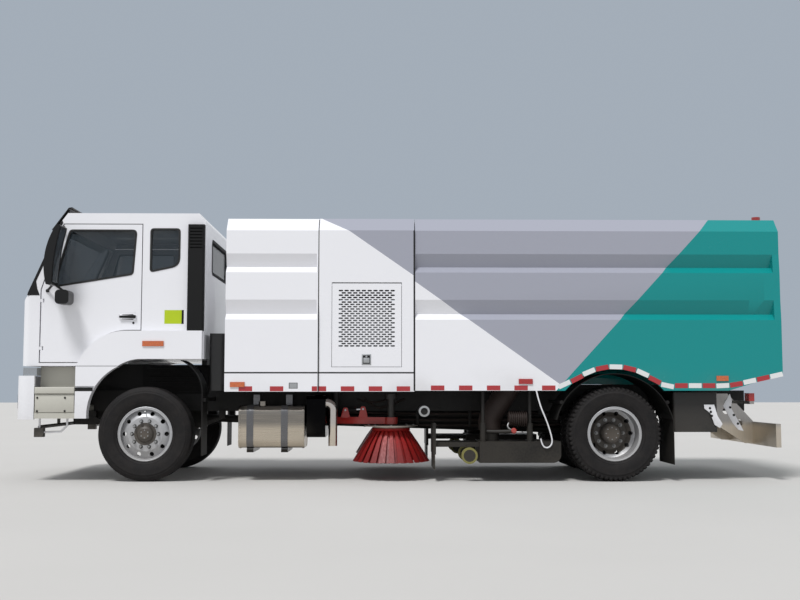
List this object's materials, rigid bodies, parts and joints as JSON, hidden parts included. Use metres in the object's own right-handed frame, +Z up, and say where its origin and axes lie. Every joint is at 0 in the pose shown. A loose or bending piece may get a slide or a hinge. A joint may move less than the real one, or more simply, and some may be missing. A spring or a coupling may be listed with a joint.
{
  "type": "street sweeper truck",
  "caption": "Cab-over street sweeper truck with tipping hopper, suction nozzles and swinging side brushes.",
  "frame": {"origin": "on the ground under the middle of the truck", "axes": "+X forwards, +Y to the truck's left, +Z up"},
  "size_m": [8.5, 2.96, 3.0598],
  "materials": {
    "white_paint": "gloss paint",
    "body_paint": "gloss paint in white, grey and green",
    "frame_paint": "chassis paint",
    "grey_plastic": "moulded",
    "black_plastic": "moulded",
    "aluminium": "mill finish",
    "steel": "worn steel",
    "rim_paint": "silver paint",
    "tyre": "rubber",
    "glass": "tinted",
    "lamp": "lens",
    "red_paint": "gloss paint",
    "bristle": "plastic bristles",
    "seat_cloth": "woven"
  },
  "bodies": {
    "chassis": {"frame_rails": "frame_paint", "subframe": "frame_paint", "front_axle": "frame_paint", "rear_axle": "frame_paint", "leaf_springs": "frame_paint", "engine_block": "frame_paint", "fuel_tank": "aluminium", "side_boxes": "black_plastic", "silencer": "steel", "bumper": "white_paint", "lamps": "lamp", "steps": "grey_plastic", "fender_legs": "white_paint", "front_mudguards": "black_plastic", "rear_mudguards": "black_plastic", "water_tank": "body_paint", "engine_bay": "body_paint", "fan_engine": "steel", "underrun_guard": "white_paint", "suction_tubes": "grey_plastic", "water_pipes": "steel"},
    "cab": {"cab_shell": "white_paint", "cab_glass": "glass", "sun_visor": "black_plastic", "dashboard": "grey_plastic", "seats": "seat_cloth", "air_intake": "black_plastic", "cab_lamps": "lamp"},
    "left_door": {"door_left": "white_paint", "door_glass_left": "glass", "mirror_left": "black_plastic"},
    "right_door": {"door_right": "white_paint", "door_glass_right": "glass", "mirror_right": "black_plastic"},
    "hopper": {"hopper_shell": "body_paint", "hopper_lamps": "lamp"},
    "tailgate": {"rear_door": "body_paint"},
    "barrel": {"tip_barrel": "steel"},
    "rod": {"tip_rod": "steel"},
    "left_lid": {"lid_left": "body_paint"},
    "right_lid": {"lid_right": "body_paint"},
    "left_knuckle": {"knuckle_left": "frame_paint"},
    "right_knuckle": {"knuckle_right": "frame_paint"},
    "front_left_wheel": {"tyre_front_left": "tyre", "rim_front_left": "rim_paint"},
    "front_right_wheel": {"tyre_front_right": "tyre", "rim_front_right": "rim_paint"},
    "rear_left_wheels": {"tyres_rear_left": "tyre", "rim_rear_left": "rim_paint"},
    "rear_right_wheels": {"tyres_rear_right": "tyre", "rim_rear_right": "rim_paint"},
    "left_arm": {"brush_arm_left": "red_paint"},
    "right_arm": {"brush_arm_right": "red_paint"},
    "left_head": {"brush_head_left": "red_paint"},
    "right_head": {"brush_head_right": "red_paint"},
    "left_brush": {"brush_left": "bristle"},
    "right_brush": {"brush_right": "bristle"},
    "left_nozzle": {"nozzle_left": "steel"},
    "right_nozzle": {"nozzle_right": "steel"}
  },
  "joints": [
    {"name": "cab_tilt", "type": "hinge", "parent": "chassis", "child": "cab", "pos_m": [4.13, 0, 0.9], "axis": [0, 1, 0], "range_deg": [0, 45]},
    {"name": "left_door_hinge", "type": "hinge", "parent": "cab", "child": "left_door", "pos_m": [3.992, 1.141, 1.8], "axis": [0, 0, -1], "range_deg": [0, 70]},
    {"name": "right_door_hinge", "type": "hinge", "parent": "cab", "child": "right_door", "pos_m": [3.992, -1.141, 1.8], "axis": [0, 0, 1], "range_deg": [0, 70]},
    {"name": "steer_left", "type": "hinge", "parent": "chassis", "child": "left_knuckle", "pos_m": [2.83, 0.86, 0.522], "axis": [0, 0, 1], "range_deg": [-35, 35]},
    {"name": "steer_right", "type": "hinge", "parent": "chassis", "child": "right_knuckle", "pos_m": [2.83, -0.86, 0.522], "axis": [0, 0, 1], "range_deg": [-35, 35]},
    {"name": "front_left_roll", "type": "hinge", "parent": "left_knuckle", "child": "front_left_wheel", "pos_m": [2.83, 1.015, 0.522], "axis": [0, 1, 0], "continuous": true},
    {"name": "front_right_roll", "type": "hinge", "parent": "right_knuckle", "child": "front_right_wheel", "pos_m": [2.83, -1.015, 0.522], "axis": [0, 1, 0], "continuous": true},
    {"name": "rear_left_roll", "type": "hinge", "parent": "chassis", "child": "rear_left_wheels", "pos_m": [-2.37, 0.93, 0.522], "axis": [0, 1, 0], "continuous": true},
    {"name": "rear_right_roll", "type": "hinge", "parent": "chassis", "child": "rear_right_wheels", "pos_m": [-2.37, -0.93, 0.522], "axis": [0, 1, 0], "continuous": true},
    {"name": "hopper_tip", "type": "hinge", "parent": "chassis", "child": "hopper", "pos_m": [-3.75, 0, 1.06], "axis": [0, -1, 0], "range_deg": [0, 45]},
    {"name": "tailgate_lift", "type": "hinge", "parent": "hopper", "child": "tailgate", "pos_m": [-4.22, 0, 2.75], "axis": [0, 1, 0], "range_deg": [0, 80]},
    {"name": "barrel_swing", "type": "hinge", "parent": "chassis", "child": "barrel", "pos_m": [-2.6, 0, 0.85], "axis": [0, -1, 0], "range_deg": [0, 62.81]},
    {"name": "rod_slide", "type": "slide", "parent": "barrel", "child": "rod", "axis": [0.9578, 0, 0.2873], "range_m": [0, 0.7727]},
    {"name": "left_lid_hinge", "type": "hinge", "parent": "chassis", "child": "left_lid", "pos_m": [0.3795, 1.2225, 2.17], "axis": [1, 0, 0], "range_deg": [0, 80]},
    {"name": "right_lid_hinge", "type": "hinge", "parent": "chassis", "child": "right_lid", "pos_m": [0.3795, -1.2225, 2.17], "axis": [-1, 0, 0], "range_deg": [0, 80]},
    {"name": "left_arm_swing", "type": "hinge", "parent": "chassis", "child": "left_arm", "pos_m": [0.75, 0.6, 0.66], "axis": [0, 0, -1], "range_deg": [0, 25]},
    {"name": "right_arm_swing", "type": "hinge", "parent": "chassis", "child": "right_arm", "pos_m": [0.75, -0.6, 0.66], "axis": [0, 0, 1], "range_deg": [0, 25]},
    {"name": "left_head_lower", "type": "slide", "parent": "left_arm", "child": "left_head", "axis": [0, 0, -1], "range_m": [0, 0.18]},
    {"name": "right_head_lower", "type": "slide", "parent": "right_arm", "child": "right_head", "axis": [0, 0, -1], "range_m": [0, 0.18]},
    {"name": "left_brush_spin", "type": "hinge", "parent": "left_head", "child": "left_brush", "pos_m": [0.104, 0.79, 0.5], "axis": [0, 0, 1], "continuous": true},
    {"name": "right_brush_spin", "type": "hinge", "parent": "right_head", "child": "right_brush", "pos_m": [0.104, -0.79, 0.5], "axis": [0, 0, 1], "continuous": true},
    {"name": "left_nozzle_lower", "type": "slide", "parent": "chassis", "child": "left_nozzle", "axis": [0, 0, -1], "range_m": [0, 0.12]},
    {"name": "right_nozzle_lower", "type": "slide", "parent": "chassis", "child": "right_nozzle", "axis": [0, 0, -1], "range_m": [0, 0.12]}
  ],
  "couplings": [
    {"joint": "steer_right", "follows": "steer_left", "ratio": 1},
    {"joint": "barrel_swing", "follows": "hopper_tip", "ratio": 1.3913},
    {"joint": "rod_slide", "follows": "hopper_tip", "m_per_rad": 0.98134}
  ]
}
